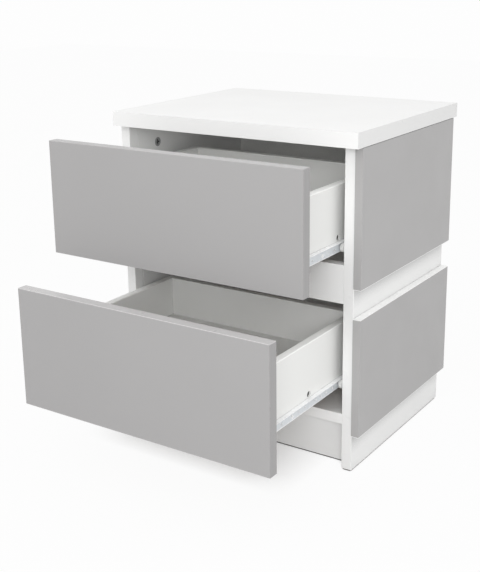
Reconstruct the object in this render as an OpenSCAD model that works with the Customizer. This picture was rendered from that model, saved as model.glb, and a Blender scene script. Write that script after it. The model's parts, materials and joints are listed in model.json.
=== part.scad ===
// Bedside cabinet with two handle-less drawers on roller runners and a clad right side.
// Millimetres. X runs left to right seen from the front, Y from front to back, Z up.
// The front faces -Y and the floor is Z = 0. The origin is on the floor, under the middle of
// the overall size with the drawers drawn out as upper_kept and lower_kept say.

/* [Carcass] */
// Width over the two side panels
carcass_w = 410; // [360:5:520]
// Depth of the side panels from front edge to back edge
carcass_d = 310; // [300:5:400]
// Height of the top board's underside above the floor
carcass_h = 482; // [470:1:520]
// Thickness of the carcass boards
board_t = 16; // [15:1:18]
// Thickness of the top board
top_t = 22; // [18:1:28]
// How far the top board passes the side panels' front edges
top_front_over = 18.5; // [18.5:0.5:24]
// How far the top board passes the side panels' back edges
top_back_over = 10; // [6:1:20]
// Height of the bottom panel's underside above the floor
base_h = 72; // [60:1:76]
// How far the plinth stands back from the side panels' front edges
plinth_set = 22; // [10:1:60]
// Gap under the side panels and plinth, taken up by the glides
floor_gap = 2; // [2:0.5:5]
// Height of the cross rail between the drawers
rail_h = 57; // [50:1:60]

/* [Side cladding] */
// Thickness of the two cladding boards
clad_t = 12; // [12:1:16]
// Height of the lower cladding's bottom edge above the floor
lower_clad_z = 57; // [40:1:70]
// Height of the lower cladding board
lower_clad_h = 180; // [170:1:190]
// Height of the open strip between the two cladding boards
clad_gap = 43; // [30:1:50]
// How far the cladding stands in front of the side panel's front edge
clad_proud = 1.5; // [0:0.5:1.5]

/* [Drawer fronts] */
// Thickness of the drawer fronts
front_t = 16; // [15:1:19]
// Height of the lower front's bottom edge above the floor
lower_front_z = 102; // [96:1:106]
// Height of the lower drawer front
lower_front_h = 178; // [172:1:182]
// Finger gap between the lower front and the upper front
finger_gap = 33; // [28:1:36]

/* [Drawer boxes] */
// Thickness of the drawer sides and backs
box_t = 12; // [12:1:16]
// Height of the drawer sides
box_h = 96; // [80:1:110]
// Height of the upper drawer's sides above its front's bottom edge
upper_lift = 17; // [14:1:22]
// Height of the lower drawer's sides above its front's bottom edge
lower_lift = 22; // [16:1:24]
// Length of the upper drawer's box that is still inside the carcass
upper_kept = 156; // [70:1:288]
// Length of the lower drawer's box that is still inside the carcass
lower_kept = 76; // [70:1:288]

/* [Hidden] */
$fn = 48;
// Small clearance round a fastener in its bore
fit = 0.1;
// Gap between a moving face and the face beside it
slip = 0.3;

// Outline of the whole cabinet
top_side_over = 1;
top_w = carcass_w + clad_t + top_side_over;
top_y0 = -top_front_over;
top_y1 = carcass_d + top_back_over;
box_rear_gap = 10;
box_l = carcass_d - box_rear_gap;
upper_open = box_l - upper_kept;
lower_open = box_l - lower_kept;
drawn_y = max(max(upper_open, lower_open) + front_t, top_front_over);
origin_x = top_w / 2;
origin_y = (top_y1 - drawn_y) / 2;
inner_w = carcass_w - 2 * board_t;
plinth_h = base_h - floor_gap;

// Heights that follow from the fronts
front_top_gap = 2;
upper_front_z = lower_front_z + lower_front_h + finger_gap;
upper_front_h = carcass_h - front_top_gap - upper_front_z;
rail_z = upper_front_z - rail_h;
lower_box_z = lower_front_z + lower_lift;
upper_box_z = upper_front_z + upper_lift;
front_w = carcass_w + clad_t;

// Cladding
clad_top_gap = 1;
upper_clad_z = lower_clad_z + lower_clad_h + clad_gap;
upper_clad_h = carcass_h - clad_top_gap - upper_clad_z;
clad_screw_y = 90;
clad_screw_edge = 28;
clad_screw_l = 25;
clad_screw_up = 11;

// Score line down the inner face of each side panel
score_y = 20;
score_w = 1.2;
score_deep = 0.8;

// Cam joints: a bolt in one board is drawn tight by a cam in the next
cam_in = 70;
cam_r = 7.5;
cam_below = 4.5;
cam_deep = board_t / 2 + cam_below;
cam_sunk = 0.2;
cam_reach = 37;
cam_slot_l = 9;
cam_slot_w = 1.6;
cam_slot_deep = 2.2;
cam_socket_r = 2.4;
cam_socket_deep = 2.4;
bolt_thread_r = 2.9;
bolt_thread_l = 11;
bolt_bore_r = 3.2;
bolt_collar_r = 3;
bolt_collar_l = 1.2;
bolt_shank_r = 2.2;
bolt_head_r = 2.6;
bolt_head_l = 3;
bolt_cave_r = 3;
drawer_cam_below = 3.5;
drawer_cam_deep = box_t / 2 + drawer_cam_below;
drawer_cam_reach = 24;
drawer_cam_low = 42;
drawer_cam_high = 16;

// Dowels
dowel_r = 4;
dowel_in = 10;
dowel_out = 20;
dowel_edge = 35;
box_dowel_r = 3;

// Countersunk screws
screw_head_r = 3.4;
screw_head_h = 2.4;
screw_r = 1.75;
cross_l = 3.6;
cross_w = 0.8;
cross_deep = 1.1;

// Pan-head screws that hold the runners
pan_r = 3.4;
pan_h = 1.2;
pan_shank_r = 1.9;
pan_l = 13;
cabinet_screw_front = 37;
cabinet_screw_mid = 133;
cabinet_screw_rear = 49;
cabinet_screw_y = [cabinet_screw_front, cabinet_screw_mid, carcass_d - cabinet_screw_rear];
box_screw_in = 40;
box_screw_y = [box_screw_in, box_l / 2, box_l - box_screw_in];
box_screw_l = 11;

// Drawer box details
groove_up = 30;
groove_deep = 6;
groove_w = 3.2;
hdf_t = 3;
hdf_short = 0.5;
back_screw_edge = 14;
back_screw_l = 32;
lock_r = 4.5;
lock_deep = 10;
lock_sunk = 2.5;
lock_y = 150;
lock_z = 20;
lock_slot_l = 5;
lock_slot_w = 1.2;
lock_slot_deep = 1.5;

// Roller runners, from the drawer side out to the side panel
runner_gap = 12.7;
box_x0 = board_t + runner_gap;
box_w = carcass_w - 2 * box_x0;
sheet_t = 1.2;
runner_l = box_l;
runner_front = 2;
member_in = 2;
member_h = 16;
member_under = 9.5;
member_flange = 7;
member_flange_end = 28;
web_hole_r = 1.6;
web_hole_up = 6;
web_hole_y = [76, 121, 138, 168, 182, 197, 216, 248];
wide_hole_r = 2.8;
wide_hole_y = 104;
pilot_r = 1.3;
pilot_deep = 4;
roller_r = 7.5;
roller_w = 5.6;
roller_u = 3;
roller_up = member_h - sheet_t - slip - roller_r;
axle_r = 3;
axle_fit = 0.05;
axle_head_r = 4.5;
axle_head_t = 1;
front_roller_y = 13;
rear_roller_in = 14;
channel_low = roller_r - roller_up + slip;
channel_high = member_h + slip + fit;
channel_lip_u = roller_u - slip - sheet_t;
channel_lip_h = 1.8;
channel_low_y = 26;
channel_top_u = 5;
channel_top_y = 34;
stop_h = 15;

// Back panel nails, bottom nails and floor glides
back_t = 3;
back_in = 1;
back_low = 5;
nail_head_r = 2.5;
nail_head_t = 0.8;
nail_r = 0.8;
nail_l = 14;
back_nail_low = 40;
back_nail_top = 22;
back_nail_steps = 4;
back_nail_step = (carcass_h - back_nail_top - back_nail_low) / back_nail_steps;
back_nail_z = [for (i = [0 : back_nail_steps]) back_nail_low + i * back_nail_step];
back_nail_x = 95;
bottom_nail_x = 100;
bottom_nail_l = 12;
glide_r = 7;
glide_in = 30;
glide_nail_r = 1.2;
glide_nail_l = 12;

// Colours
white_board = [0.95, 0.95, 0.94];
grey_board = [0.68, 0.68, 0.68];
box_board = [0.92, 0.93, 0.92];
hdf_colour = [0.80, 0.81, 0.79];
coated_steel = [0.88, 0.90, 0.92];
roller_colour = [0.84, 0.84, 0.82];
zinc_colour = [0.62, 0.63, 0.65];
steel_colour = [0.70, 0.70, 0.72];
beech_colour = [0.80, 0.66, 0.46];
plastic_colour = [0.90, 0.90, 0.88];
lock_colour = [0.14, 0.14, 0.14];

// Joints at the left side. Each is [point on the joint face, turn of the cam face].
face_in = [0, 90, 0];
face_out = [0, -90, 0];
face_back = [-90, 0, 0];
face_fore = [90, 0, 0];
face_down = [180, 0, 0];
base_mid = base_h + board_t / 2;
top_cams = [for (y = [cam_in, carcass_d - cam_in]) [[board_t / 2, y, carcass_h], face_in]];
base_cams = [for (y = [cam_in, carcass_d - cam_in]) [[board_t, y, base_mid], face_down]];
rail_cam = [[board_t, board_t / 2, rail_z + rail_h / 3], face_back];
plinth_cam = [[board_t, plinth_set + board_t / 2, floor_gap + plinth_h / 3], face_back];
rear_cam = [[board_t, carcass_d - board_t / 2, floor_gap + plinth_h / 3], face_fore];
side_cams = concat(top_cams, base_cams, [rail_cam, plinth_cam, rear_cam]);
top_dowels = [for (y = [dowel_edge, carcass_d - dowel_edge]) [[board_t / 2, y, carcass_h], face_in]];
base_dowels = [for (y = [dowel_edge, carcass_d - dowel_edge]) [[board_t, y, base_mid], face_down]];
rail_dowel = [[board_t, board_t / 2, rail_z + rail_h * 2 / 3], face_back];
plinth_dowel = [[board_t, plinth_set + board_t / 2, floor_gap + plinth_h * 2 / 3], face_back];
rear_dowel = [[board_t, carcass_d - board_t / 2, floor_gap + plinth_h * 2 / 3], face_fore];
side_dowels = concat(top_dowels, base_dowels, [rail_dowel, plinth_dowel, rear_dowel]);
drawer_cam_z = [drawer_cam_low, box_h - drawer_cam_high];
drawer_dowel_z = (drawer_cam_low + box_h - drawer_cam_high) / 2;
back_screw_z = [groove_up + hdf_t + back_screw_edge, box_h - back_screw_edge];

// Piece to draw, or all of them

// ---- placing ----

module in_place() {
  translate([-origin_x, -origin_y, 0]) children();
}

// Drawer frame: y = 0 at the back face of the front, z = 0 at the sides' bottom edge
module in_drawer(z, open) {
  in_place() translate([0, -open, z]) children();
}

module mirrored() {
  translate([carcass_w, 0, 0]) mirror([1, 0, 0]) children();
}

module both_sides() {
  children();
  mirrored() children();
}

// Joint frame: x runs from the joint face into the cam's board, z to the cam's open face
module at_joint(joint) {
  translate(joint[0]) rotate(joint[1]) children();
}

module along_x() {
  rotate([0, 90, 0]) children();
}

// Joint frame of a drawer side's front end
module at_front_joint(z) {
  translate([box_x0 + box_t / 2, 0, z]) rotate(face_out) rotate([0, 0, 90]) children();
}

// ---- fasteners and their bores ----

module cam_bolt(reach) {
  along_x() {
    translate([0, 0, -bolt_thread_l]) cylinder(r = bolt_thread_r, h = bolt_thread_l);
    cylinder(r = bolt_collar_r, h = bolt_collar_l);
    cylinder(r = bolt_shank_r, h = reach);
    translate([0, 0, reach - bolt_head_l / 2]) cylinder(r = bolt_head_r, h = bolt_head_l);
  }
}

module cam_lock(t, deep, reach) {
  top = t / 2 - cam_sunk;
  difference() {
    translate([reach, 0, t / 2 - deep]) cylinder(r = cam_r - fit, h = deep - cam_sunk);
    translate([reach - 2 * cam_r, 0, 0]) along_x() {
      cylinder(r = bolt_cave_r, h = 2 * cam_r + bolt_head_l);
    }
    translate([reach, 0, top]) cross_cut(cam_slot_l, cam_slot_w, cam_slot_deep);
    translate([reach, 0, top - cam_socket_deep]) cylinder(r = cam_socket_r, h = cam_socket_deep + fit);
  }
}

module cross_cut(l, w, deep) {
  cube([l, w, 2 * deep], center = true);
  cube([w, l, 2 * deep], center = true);
}

module cam_bores(t, deep, reach) {
  along_x() {
    translate([0, 0, -bolt_thread_l]) cylinder(r = bolt_thread_r + fit, h = bolt_thread_l + fit);
    cylinder(r = bolt_bore_r, h = reach);
  }
  translate([reach, 0, t / 2 - deep]) cylinder(r = cam_r, h = deep + fit);
}

module dowel(r) {
  along_x() translate([0, 0, -dowel_in]) cylinder(r = r, h = dowel_in + dowel_out);
}

module dowel_bore(r) {
  along_x() translate([0, 0, -dowel_in]) cylinder(r = r + fit, h = dowel_in + dowel_out + fit);
}

// Countersunk screw along +z with its head flush at z = 0
module flush_screw(l) {
  difference() {
    union() {
      cylinder(r1 = screw_head_r, r2 = screw_r, h = screw_head_h);
      cylinder(r = screw_r, h = l);
    }
    cross_cut(cross_l, cross_w, cross_deep);
  }
}

module flush_bore(l) {
  translate([0, 0, -fit]) cylinder(r = screw_head_r + fit, h = fit);
  cylinder(r1 = screw_head_r + fit, r2 = screw_r + fit, h = screw_head_h);
  cylinder(r = screw_r + fit, h = l);
}

// Pan-head screw along +z, with the underside of its head at z = 0
module pan_screw(l) {
  difference() {
    union() {
      translate([0, 0, -pan_h]) cylinder(r = pan_r, h = pan_h);
      cylinder(r = pan_shank_r, h = l);
    }
    translate([0, 0, -pan_h]) cross_cut(cross_l, cross_w, cross_deep / 2);
  }
}

module nail(l, r) {
  translate([0, 0, -nail_head_t]) cylinder(r = nail_head_r, h = nail_head_t);
  cylinder(r = r, h = l);
}

// ---- carcass ----

module top_panel() {
  color(white_board) in_place() difference() {
    translate([0, top_y0, carcass_h]) cube([top_w, top_y1 - top_y0, top_t]);
    both_sides() {
      for (j = top_cams) at_joint(j) cam_bores(board_t, cam_deep, cam_reach);
      for (j = top_dowels) at_joint(j) dowel_bore(dowel_r);
    }
  }
}

// Left side panel. The right one is its mirror image with holes for the cladding.
module side_board() {
  difference() {
    translate([0, 0, floor_gap]) cube([board_t, carcass_d, carcass_h - floor_gap]);
    for (j = side_cams) at_joint(j) cam_bores(board_t, cam_deep, cam_reach);
    for (j = side_dowels) at_joint(j) dowel_bore(dowel_r);
    translate([board_t - score_deep, score_y, base_h + board_t])
      cube([2 * score_deep, score_w, carcass_h]);
    for (z = [lower_box_z, upper_box_z], y = cabinet_screw_y)
      translate([board_t - pan_l + sheet_t, y, z - sheet_t + roller_up]) along_x()
        cylinder(r = pan_shank_r + fit, h = pan_l);
    for (z = back_nail_z)
      translate([board_t / 2, carcass_d - nail_l, z]) rotate(face_back)
        cylinder(r = nail_r + fit, h = nail_l + fit);
    for (y = [glide_in, carcass_d - glide_in])
      translate([board_t / 2, y, 0]) cylinder(r = glide_nail_r + fit, h = floor_gap + glide_nail_l);
  }
}

module left_side_panel() {
  color(white_board) in_place() side_board();
}

module right_side_panel() {
  color(white_board) in_place() difference() {
    mirrored() side_board();
    at_cladding_screws() flush_bore(clad_screw_l);
  }
}

module bottom_panel() {
  color(white_board) in_place() difference() {
    translate([board_t, 0, base_h]) cube([inner_w, carcass_d, board_t]);
    both_sides() {
      for (j = base_cams) at_joint(j) cam_bores(board_t, cam_deep, cam_reach);
      for (j = base_dowels) at_joint(j) dowel_bore(dowel_r);
    }
    at_base_nails() cylinder(r = nail_r + fit, h = nail_l + fit);
  }
}

module cross_board(y, z, h, cam, peg) {
  difference() {
    translate([board_t, y, z]) cube([inner_w, board_t, h]);
    both_sides() {
      at_joint(cam) cam_bores(board_t, cam_deep, cam_reach);
      at_joint(peg) dowel_bore(dowel_r);
    }
  }
}

module middle_rail() {
  color(white_board) in_place() cross_board(0, rail_z, rail_h, rail_cam, rail_dowel);
}

module plinth() {
  color(white_board) in_place()
    cross_board(plinth_set, floor_gap, plinth_h, plinth_cam, plinth_dowel);
}

module rear_rail() {
  color(white_board) in_place()
    cross_board(carcass_d - board_t, floor_gap, plinth_h, rear_cam, rear_dowel);
}

module back_panel() {
  low = floor_gap + back_low;
  color(hdf_colour) in_place() difference() {
    translate([back_in, carcass_d, low])
      cube([carcass_w - 2 * back_in, back_t, carcass_h - back_in - low]);
    at_side_nails() cylinder(r = nail_r + fit, h = nail_l);
    at_base_nails() cylinder(r = nail_r + fit, h = nail_l);
  }
}

module at_side_nails() {
  both_sides() for (z = back_nail_z)
    translate([board_t / 2, carcass_d + back_t, z]) rotate(face_fore) children();
}

module at_base_nails() {
  for (x = [-back_nail_x, 0, back_nail_x])
    translate([carcass_w / 2 + x, carcass_d + back_t, base_mid]) rotate(face_fore) children();
}

module back_nails() {
  color(steel_colour) in_place() {
    at_side_nails() nail(nail_l, nail_r);
    at_base_nails() nail(nail_l, nail_r);
  }
}

module cladding(z, h) {
  in_place() difference() {
    translate([carcass_w, -clad_proud, z]) cube([clad_t, carcass_d + clad_proud, h]);
    at_cladding_screws() flush_bore(clad_screw_l);
  }
}

// Screws from inside the right side panel into the cladding
module at_cladding_screws() {
  lows = [base_h + board_t + clad_screw_up, lower_clad_z + lower_clad_h - clad_screw_edge];
  highs = [upper_clad_z + clad_screw_edge, upper_clad_z + upper_clad_h - clad_screw_edge];
  for (z = concat(lows, highs), y = [clad_screw_y, carcass_d - clad_screw_y])
    translate([carcass_w - board_t, y, z]) along_x() children();
}

module upper_side_cladding() {
  color(grey_board) cladding(upper_clad_z, upper_clad_h);
}

module lower_side_cladding() {
  color(grey_board) cladding(lower_clad_z, lower_clad_h);
}

module cladding_screws() {
  color(steel_colour) in_place() at_cladding_screws() flush_screw(clad_screw_l);
}

module carcass_cam_locks() {
  color(zinc_colour) in_place() both_sides()
    for (j = side_cams) at_joint(j) cam_lock(board_t, cam_deep, cam_reach);
}

module carcass_cam_bolts() {
  color(steel_colour) in_place() both_sides() for (j = side_cams) at_joint(j) cam_bolt(cam_reach);
}

module carcass_dowels() {
  color(beech_colour) in_place() both_sides() for (j = side_dowels) at_joint(j) dowel(dowel_r);
}

module floor_glides() {
  color(plastic_colour) in_place() both_sides() for (y = [glide_in, carcass_d - glide_in])
    translate([board_t / 2, y, 0]) {
      cylinder(r = glide_r, h = floor_gap);
      cylinder(r = glide_nail_r, h = floor_gap + glide_nail_l);
    }
}

// ---- cabinet runners, drawn for the left side ----

module cabinet_runner(box_z) {
  base = box_z - sheet_t;
  low = base - channel_low - sheet_t;
  inner = box_x0 - channel_lip_u;
  end = runner_front + runner_l;
  difference() {
    union() {
      translate([board_t, runner_front, low])
        cube([sheet_t, runner_l, base + channel_high + sheet_t - low]);
      translate([board_t, channel_low_y, low])
        cube([inner - board_t, end - channel_low_y, sheet_t]);
      translate([inner - sheet_t, channel_low_y, low])
        cube([sheet_t, end - channel_low_y, sheet_t + channel_lip_h]);
      translate([board_t, channel_top_y, base + channel_high])
        cube([runner_gap - channel_top_u, end - channel_top_y, sheet_t]);
      translate([board_t, end - sheet_t, low])
        cube([runner_gap - roller_u, sheet_t, stop_h]);
      translate([board_t, front_roller_y, base + roller_up]) along_x() front_axle();
    }
    for (y = cabinet_screw_y)
      translate([0, y, base + roller_up]) along_x() cylinder(r = pan_shank_r + fit, h = box_x0);
  }
}

module front_axle() {
  far = runner_gap - roller_u + slip;
  near = runner_gap - roller_u - roller_w - slip;
  cylinder(r = axle_head_r, h = near);
  cylinder(r = axle_r, h = far);
  translate([0, 0, far]) cylinder(r = axle_head_r, h = axle_head_t);
}

module roller() {
  along_x() difference() {
    cylinder(r = roller_r, h = roller_w);
    translate([0, 0, -fit]) cylinder(r = axle_r + axle_fit, h = roller_w + 2 * fit);
  }
}

module front_roller(box_z) {
  translate([box_x0 - roller_u - roller_w, front_roller_y, box_z - sheet_t + roller_up]) roller();
}

module upper_left_cabinet_runner() {
  color(coated_steel) in_place() cabinet_runner(upper_box_z);
}

module upper_right_cabinet_runner() {
  color(coated_steel) in_place() mirrored() cabinet_runner(upper_box_z);
}

module lower_left_cabinet_runner() {
  color(coated_steel) in_place() cabinet_runner(lower_box_z);
}

module lower_right_cabinet_runner() {
  color(coated_steel) in_place() mirrored() cabinet_runner(lower_box_z);
}

module upper_left_front_roller() {
  color(roller_colour) in_place() front_roller(upper_box_z);
}

module upper_right_front_roller() {
  color(roller_colour) in_place() mirrored() front_roller(upper_box_z);
}

module lower_left_front_roller() {
  color(roller_colour) in_place() front_roller(lower_box_z);
}

module lower_right_front_roller() {
  color(roller_colour) in_place() mirrored() front_roller(lower_box_z);
}

module cabinet_runner_screws() {
  color(steel_colour) in_place() both_sides()
    for (z = [lower_box_z, upper_box_z], y = cabinet_screw_y)
      translate([board_t + sheet_t, y, z - sheet_t + roller_up]) rotate(face_out) pan_screw(pan_l);
}

// ---- drawer boxes, drawn in the drawer frame ----

module drawer_front(z0, h) {
  difference() {
    translate([0, -front_t, z0]) cube([front_w, front_t, h]);
    both_sides() {
      for (z = drawer_cam_z) at_front_joint(z) cam_bores(box_t, drawer_cam_deep, drawer_cam_reach);
      at_front_joint(drawer_dowel_z) dowel_bore(box_dowel_r);
    }
    bottom_groove();
  }
}

// Room for the bottom panel's edges in the front and the sides
module bottom_groove() {
  translate([box_x0 + box_t - groove_deep, -groove_deep, groove_up])
    cube([box_w - 2 * box_t + 2 * groove_deep, groove_deep + box_l + fit, groove_w]);
}

module drawer_side() {
  difference() {
    translate([box_x0, 0, 0]) cube([box_t, box_l, box_h]);
    bottom_groove();
    for (z = drawer_cam_z) at_front_joint(z) cam_bores(box_t, drawer_cam_deep, drawer_cam_reach);
    at_front_joint(drawer_dowel_z) dowel_bore(box_dowel_r);
    for (z = back_screw_z) at_back_screw(z) flush_bore(back_screw_l);
    for (y = box_screw_y) at_box_screw(y) cylinder(r = pan_shank_r + fit, h = box_screw_l);
    translate([box_x0 - fit, lock_y, lock_z]) along_x() cylinder(r = lock_r + fit, h = lock_deep + fit);
    for (y = concat(web_hole_y, [wide_hole_y]))
      translate([box_x0 - fit, y, web_hole_up - sheet_t]) along_x() cylinder(r = pilot_r, h = pilot_deep + fit);
  }
}

module drawer_back() {
  difference() {
    translate([box_x0 + box_t, box_l - box_t, groove_up + hdf_t])
      cube([box_w - 2 * box_t, box_t, box_h - groove_up - hdf_t]);
    both_sides() for (z = back_screw_z) at_back_screw(z) flush_bore(back_screw_l);
    at_bottom_nails() cylinder(r = nail_r + fit, h = bottom_nail_l);
  }
}

module drawer_bottom() {
  tongue = groove_deep - hdf_short;
  difference() {
    translate([box_x0 + box_t - tongue, -tongue, groove_up])
      cube([box_w - 2 * box_t + 2 * tongue, tongue + box_l, hdf_t]);
    at_bottom_nails() cylinder(r = nail_r + fit, h = bottom_nail_l);
  }
}

module at_back_screw(z) {
  translate([box_x0, box_l - box_t / 2, z]) along_x() children();
}

module at_box_screw(y) {
  translate([box_x0 + box_t / 2, y, -sheet_t]) children();
}

module at_bottom_nails() {
  for (x = [-bottom_nail_x, 0, bottom_nail_x])
    translate([carcass_w / 2 + x, box_l - box_t / 2, groove_up]) children();
}

module drawer_runner() {
  bottom = -sheet_t;
  len = box_l - 2 * member_in;
  flange_z = bottom + member_h - sheet_t;
  axle_y = box_l - rear_roller_in;
  difference() {
    union() {
      translate([box_x0 - sheet_t, member_in, bottom]) cube([sheet_t, len, member_h]);
      translate([box_x0 - sheet_t, member_in, bottom])
        cube([sheet_t + member_under, len, sheet_t]);
      translate([box_x0 - member_flange, member_in, flange_z])
        cube([member_flange, len - member_flange_end, sheet_t]);
      translate([box_x0, axle_y, bottom + roller_up]) rotate(face_out) rear_axle();
    }
    for (y = web_hole_y) web_hole(y, web_hole_r);
    web_hole(wide_hole_y, wide_hole_r);
    for (y = box_screw_y) at_box_screw(y) cylinder(r = pan_shank_r + fit, h = 2 * sheet_t);
  }
}

module web_hole(y, r) {
  translate([box_x0 - 2 * sheet_t, y, web_hole_up - sheet_t]) along_x() cylinder(r = r, h = 2 * sheet_t);
}

module rear_axle() {
  near = roller_u - slip;
  far = roller_u + roller_w + slip;
  cylinder(r = axle_head_r, h = near);
  cylinder(r = axle_r, h = far);
  translate([0, 0, far]) cylinder(r = axle_head_r, h = axle_head_t);
}

module rear_roller() {
  translate([box_x0 - roller_u - roller_w, box_l - rear_roller_in, roller_up - sheet_t]) roller();
}

module drawer_cam_locks() {
  both_sides() for (z = drawer_cam_z)
    at_front_joint(z) cam_lock(box_t, drawer_cam_deep, drawer_cam_reach);
}

module drawer_cam_bolts() {
  both_sides() for (z = drawer_cam_z) at_front_joint(z) cam_bolt(drawer_cam_reach);
}

module drawer_dowels() {
  both_sides() at_front_joint(drawer_dowel_z) dowel(box_dowel_r);
}

module drawer_back_screws() {
  both_sides() for (z = back_screw_z) at_back_screw(z) flush_screw(back_screw_l);
}

module drawer_runner_screws() {
  both_sides() for (y = box_screw_y) at_box_screw(y) pan_screw(box_screw_l);
}

module drawer_bottom_nails() {
  at_bottom_nails() nail(bottom_nail_l, nail_r);
}

module drawer_bottom_locks() {
  both_sides() translate([box_x0 + lock_sunk, lock_y, lock_z]) along_x() difference() {
    cylinder(r = lock_r, h = lock_deep - lock_sunk);
    cube([lock_slot_w, lock_slot_l, 2 * lock_slot_deep], center = true);
  }
}

// ---- upper drawer ----

module in_upper() {
  in_drawer(upper_box_z, upper_open) children();
}

module upper_drawer_front() {
  color(grey_board) in_upper() drawer_front(-upper_lift, upper_front_h);
}

module upper_drawer_left_side() {
  color(box_board) in_upper() drawer_side();
}

module upper_drawer_right_side() {
  color(box_board) in_upper() mirrored() drawer_side();
}

module upper_drawer_back() {
  color(box_board) in_upper() drawer_back();
}

module upper_drawer_bottom() {
  color(hdf_colour) in_upper() drawer_bottom();
}

module upper_drawer_left_runner() {
  color(coated_steel) in_upper() drawer_runner();
}

module upper_drawer_right_runner() {
  color(coated_steel) in_upper() mirrored() drawer_runner();
}

module upper_left_rear_roller() {
  color(roller_colour) in_upper() rear_roller();
}

module upper_right_rear_roller() {
  color(roller_colour) in_upper() mirrored() rear_roller();
}

module upper_drawer_cam_locks() {
  color(zinc_colour) in_upper() drawer_cam_locks();
}

module upper_drawer_cam_bolts() {
  color(steel_colour) in_upper() drawer_cam_bolts();
}

module upper_drawer_dowels() {
  color(beech_colour) in_upper() drawer_dowels();
}

module upper_drawer_back_screws() {
  color(steel_colour) in_upper() drawer_back_screws();
}

module upper_drawer_runner_screws() {
  color(steel_colour) in_upper() drawer_runner_screws();
}

module upper_drawer_bottom_nails() {
  color(steel_colour) in_upper() drawer_bottom_nails();
}

module upper_drawer_bottom_locks() {
  color(lock_colour) in_upper() drawer_bottom_locks();
}

// ---- lower drawer ----

module in_lower() {
  in_drawer(lower_box_z, lower_open) children();
}

module lower_drawer_front() {
  color(grey_board) in_lower() drawer_front(-lower_lift, lower_front_h);
}

module lower_drawer_left_side() {
  color(box_board) in_lower() drawer_side();
}

module lower_drawer_right_side() {
  color(box_board) in_lower() mirrored() drawer_side();
}

module lower_drawer_back() {
  color(box_board) in_lower() drawer_back();
}

module lower_drawer_bottom() {
  color(hdf_colour) in_lower() drawer_bottom();
}

module lower_drawer_left_runner() {
  color(coated_steel) in_lower() drawer_runner();
}

module lower_drawer_right_runner() {
  color(coated_steel) in_lower() mirrored() drawer_runner();
}

module lower_left_rear_roller() {
  color(roller_colour) in_lower() rear_roller();
}

module lower_right_rear_roller() {
  color(roller_colour) in_lower() mirrored() rear_roller();
}

module lower_drawer_cam_locks() {
  color(zinc_colour) in_lower() drawer_cam_locks();
}

module lower_drawer_cam_bolts() {
  color(steel_colour) in_lower() drawer_cam_bolts();
}

module lower_drawer_dowels() {
  color(beech_colour) in_lower() drawer_dowels();
}

module lower_drawer_back_screws() {
  color(steel_colour) in_lower() drawer_back_screws();
}

module lower_drawer_runner_screws() {
  color(steel_colour) in_lower() drawer_runner_screws();
}

module lower_drawer_bottom_nails() {
  color(steel_colour) in_lower() drawer_bottom_nails();
}

module lower_drawer_bottom_locks() {
  color(lock_colour) in_lower() drawer_bottom_locks();
}

top_panel();
left_side_panel();
right_side_panel();
bottom_panel();
middle_rail();
plinth();
rear_rail();
back_panel();
upper_side_cladding();
lower_side_cladding();
upper_left_cabinet_runner();
upper_right_cabinet_runner();
lower_left_cabinet_runner();
lower_right_cabinet_runner();
upper_left_front_roller();
upper_right_front_roller();
lower_left_front_roller();
lower_right_front_roller();
carcass_cam_locks();
carcass_cam_bolts();
carcass_dowels();
cladding_screws();
cabinet_runner_screws();
back_nails();
floor_glides();
upper_drawer_front();
upper_drawer_left_side();
upper_drawer_right_side();
upper_drawer_back();
upper_drawer_bottom();
upper_drawer_left_runner();
upper_drawer_right_runner();
upper_left_rear_roller();
upper_right_rear_roller();
upper_drawer_cam_locks();
upper_drawer_cam_bolts();
upper_drawer_dowels();
upper_drawer_back_screws();
upper_drawer_runner_screws();
upper_drawer_bottom_nails();
upper_drawer_bottom_locks();
lower_drawer_front();
lower_drawer_left_side();
lower_drawer_right_side();
lower_drawer_back();
lower_drawer_bottom();
lower_drawer_left_runner();
lower_drawer_right_runner();
lower_left_rear_roller();
lower_right_rear_roller();
lower_drawer_cam_locks();
lower_drawer_cam_bolts();
lower_drawer_dowels();
lower_drawer_back_screws();
lower_drawer_runner_screws();
lower_drawer_bottom_nails();
lower_drawer_bottom_locks();
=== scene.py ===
# %% [markdown]
# # A bedside cabinet with two drawers drawn out
#
# This lesson dresses a finished construction model. The solids of every board, runner, roller and
# screw are already there, at their real size in metres, and they must not move. What is missing
# is everything that makes them look real: softened edges, edge bands, the melamine's fine
# texture, coated steel, moulded rollers, light and a camera.

import json
import math

import bmesh
import bpy
from mathutils import Matrix, Vector


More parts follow.
